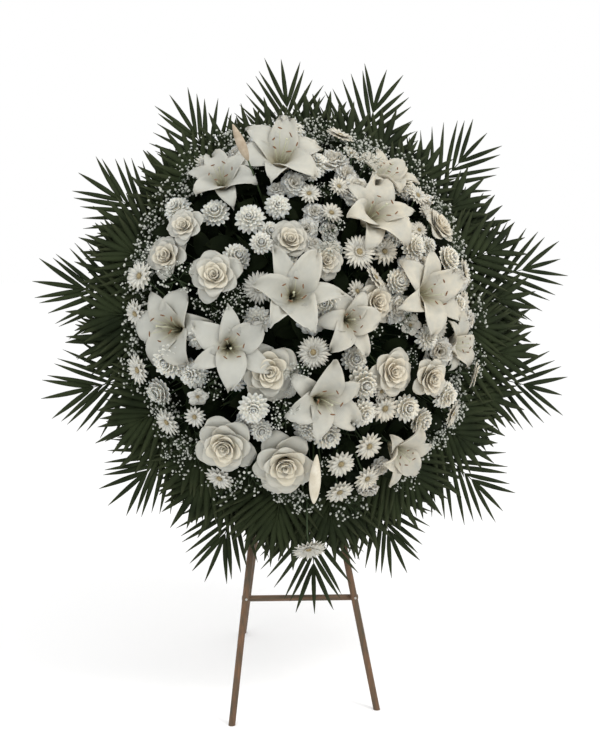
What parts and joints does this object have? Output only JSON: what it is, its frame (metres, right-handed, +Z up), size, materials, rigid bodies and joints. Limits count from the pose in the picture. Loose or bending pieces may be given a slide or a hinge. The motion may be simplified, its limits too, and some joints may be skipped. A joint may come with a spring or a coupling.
{
  "type": "funeral wreath with stand",
  "caption": "Standing funeral wreath: a dome of white lilies, roses and daisies in a ring of palm fronds, on a folding wooden tripod easel.",
  "frame": {"origin": "middle of the rear leg's foot, on the floor", "axes": "+Z up, the wreath faces -Y, +X to the right as seen from the front"},
  "size_m": [1.4552, 0.9221, 1.7089],
  "materials": {
    "pole_wood": "satin",
    "steel": "satin",
    "plywood": "matte",
    "foam": "matte",
    "palm_green": "satin",
    "lily_white": "satin",
    "rose_cream": "matte",
    "daisy_white": "matte",
    "breath_white": "matte"
  },
  "bodies": {
    "wreath_and_front_legs": {"babys_breath_left": "breath_white", "babys_breath_low": "breath_white", "babys_breath_right": "breath_white", "backing_board": "plywood", "flower_foam": "foam", "gerbera_1": "daisy_white", "gerbera_2": "daisy_white", "gerbera_low": "daisy_white", "inner_tuft_1": "palm_green", "inner_tuft_2": "palm_green", "inner_tuft_3": "palm_green", "inner_tuft_4": "palm_green", "inner_tuft_5": "palm_green", "left_front_leg": "pole_wood", "left_nail": "steel", "left_peg": "pole_wood", "lily_stem_centre": "lily_white", "lily_stem_left": "lily_white", "lily_stem_low_right": "lily_white", "lily_stem_lower": "lily_white", "lily_stem_right": "lily_white", "lily_stem_top": "lily_white", "lily_stem_upper_right": "lily_white", "lower_cleat": "plywood", "lower_crossbar": "pole_wood", "outer_frond_01": "palm_green", "outer_frond_02": "palm_green", "outer_frond_03": "palm_green", "outer_frond_04": "palm_green", "outer_frond_05": "palm_green", "outer_frond_06": "palm_green", "outer_frond_07": "palm_green", "outer_frond_08": "palm_green", "outer_frond_09": "palm_green", "outer_frond_10": "palm_green", "outer_frond_11": "palm_green", "outer_frond_12": "palm_green", "outer_frond_13": "palm_green", "outer_frond_14": "palm_green", "pivot_bolt": "steel", "right_front_leg": "pole_wood", "right_nail": "steel", "right_peg": "pole_wood", "rose_1": "rose_cream", "rose_2": "rose_cream", "rose_3": "rose_cream", "rose_4": "rose_cream", "rose_5": "rose_cream", "rose_6": "rose_cream", "rose_7": "rose_cream", "spray_left": "daisy_white", "spray_lower": "daisy_white", "spray_lower_left": "daisy_white", "spray_lower_right": "daisy_white", "spray_right": "daisy_white", "spray_top": "daisy_white", "spray_upper_left": "daisy_white", "upper_cleat": "plywood", "wing_nut": "steel"},
    "rear_strut": {"rear_leg": "pole_wood"}
  },
  "joints": [
    {"name": "rear_leg_fold", "type": "hinge", "parent": "wreath_and_front_legs", "child": "rear_strut", "pos_m": [0, -0.50899, 1.08329], "axis": [-1, 0, 0], "range_deg": [0, 32]}
  ]
}
